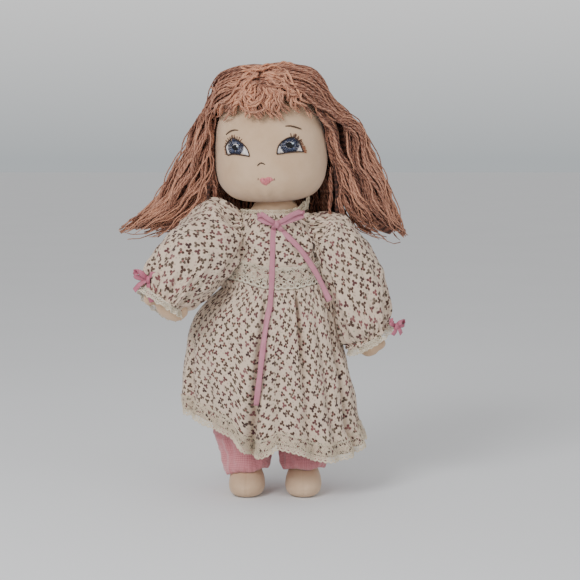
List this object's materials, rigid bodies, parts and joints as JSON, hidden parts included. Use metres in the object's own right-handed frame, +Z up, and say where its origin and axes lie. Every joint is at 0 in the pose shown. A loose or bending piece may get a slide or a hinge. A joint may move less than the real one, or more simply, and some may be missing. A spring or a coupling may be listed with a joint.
{
  "type": "rag doll",
  "caption": "Soft cloth doll with yarn hair, embroidered face, calico dress with lace and ribbon bows, and knit pantaloons.",
  "frame": {"origin": "middle of the whole doll's footprint, on the floor that its soles stand on", "axes": "+Z up from the soles to the hair, the doll faces -Y, +X is the doll's own left"},
  "size_m": [0.2421, 0.1224, 0.3583],
  "materials": {
    "muslin": "plain muslin, skin coloured",
    "polyester_fibre": "white polyester fibre filling",
    "peach_yarn": "peach brown yarn",
    "calico": "cream calico with a small flower print",
    "cream_lace": "cream cotton lace",
    "pink_knit": "pink knit",
    "pink_satin": "pink satin ribbon",
    "elastic": "white covered elastic",
    "white_thread": "white embroidery",
    "blue_thread": "blue embroidery",
    "brown_thread": "brown embroidery",
    "pink_thread": "pink embroidery",
    "snap_metal": "nickel plated"
  },
  "bodies": {
    "torso": {"torso_cover": "muslin", "torso_stuffing": "polyester_fibre", "bodice": "calico", "yoke_lace_front": "cream_lace", "yoke_lace_back": "cream_lace", "neck_lace": "cream_lace", "back_placket": "calico", "dress_snap_1": "snap_metal", "dress_snap_2": "snap_metal", "neck_bow": "pink_satin", "ribbon_tail_long": "pink_satin", "ribbon_tail_short": "pink_satin", "waist_elastic": "elastic", "skirt": "calico", "hem_lace": "cream_lace"},
    "neck": {"neck_cover": "muslin", "neck_stuffing": "polyester_fibre"},
    "head": {"head_cover": "muslin", "head_stuffing": "polyester_fibre", "eye_left": "white_thread", "eye_right": "white_thread", "iris_left": "blue_thread", "iris_right": "blue_thread", "brow_left": "brown_thread", "brow_right": "brown_thread", "nose_stitch": "brown_thread", "lips": "pink_thread", "hair_crown": "peach_yarn", "hair_fringe": "peach_yarn", "hair_side_left": "peach_yarn", "hair_side_right": "peach_yarn", "hair_back": "peach_yarn"},
    "arm_left": {"arm_cover_left": "muslin", "arm_stuffing_left": "polyester_fibre", "sleeve_left": "calico", "cuff_lace_left": "cream_lace", "cuff_elastic_left": "elastic", "cuff_bow_left": "pink_satin"},
    "arm_right": {"arm_cover_right": "muslin", "arm_stuffing_right": "polyester_fibre", "sleeve_right": "calico", "cuff_lace_right": "cream_lace", "cuff_elastic_right": "elastic", "cuff_bow_right": "pink_satin"},
    "lap": {"pantaloon_seat": "pink_knit"},
    "leg_left": {"leg_cover_left": "muslin", "leg_stuffing_left": "polyester_fibre", "pantaloon_leg_left": "pink_knit", "ankle_elastic_left": "elastic"},
    "leg_right": {"leg_cover_right": "muslin", "leg_stuffing_right": "polyester_fibre", "pantaloon_leg_right": "pink_knit", "ankle_elastic_right": "elastic"}
  },
  "joints": [
    {"name": "neck_turn", "type": "hinge", "parent": "torso", "child": "neck", "pos_m": [0.0105, 0.009, 0.234], "axis": [0, 0, 1], "range_deg": [-60, 60], "deforming": ["hair_side_left", "hair_side_right", "hair_back", "neck_lace", "bodice", "sleeve_left", "sleeve_right"]},
    {"name": "head_nod", "type": "hinge", "parent": "neck", "child": "head", "pos_m": [0.0105, 0.009, 0.2343], "axis": [1, 0, 0], "range_deg": [-15, 15], "deforming": ["hair_side_left", "hair_side_right", "hair_back", "neck_lace", "bodice", "sleeve_left", "sleeve_right"]},
    {"name": "shoulder_left_swing", "type": "hinge", "parent": "torso", "child": "arm_left", "pos_m": [0.0565, 0.009, 0.224], "axis": [-1, 0, 0], "range_deg": [-40, 120], "deforming": ["sleeve_left", "bodice", "hair_side_left", "hair_back", "neck_lace", "cuff_lace_left", "skirt", "yoke_lace_front", "yoke_lace_back", "ribbon_tail_short"]},
    {"name": "shoulder_right_swing", "type": "hinge", "parent": "torso", "child": "arm_right", "pos_m": [-0.0355, 0.009, 0.224], "axis": [-1, 0, 0], "range_deg": [-75, 85], "deforming": ["sleeve_right", "bodice", "hair_side_right", "hair_back", "neck_lace", "cuff_lace_right", "skirt", "yoke_lace_front", "yoke_lace_back", "ribbon_tail_short"]},
    {"name": "hip_fold", "type": "hinge", "parent": "torso", "child": "lap", "pos_m": [0.0105, 0.009, 0.10975], "axis": [-1, 0, 0], "range_deg": [0, 90], "deforming": ["pantaloon_seat", "pantaloon_leg_left", "pantaloon_leg_right", "skirt", "hem_lace", "ribbon_tail_long", "ribbon_tail_short"]},
    {"name": "leg_left_swing", "type": "hinge", "parent": "lap", "child": "leg_left", "pos_m": [0.0343, 0.009, 0.10975], "axis": [-1, 0, 0], "range_deg": [-20, 20], "deforming": ["pantaloon_seat", "pantaloon_leg_left", "skirt", "hem_lace"]},
    {"name": "leg_right_swing", "type": "hinge", "parent": "lap", "child": "leg_right", "pos_m": [-0.0133, 0.009, 0.10975], "axis": [-1, 0, 0], "range_deg": [-20, 20], "deforming": ["pantaloon_seat", "pantaloon_leg_right", "skirt", "hem_lace"]}
  ]
}
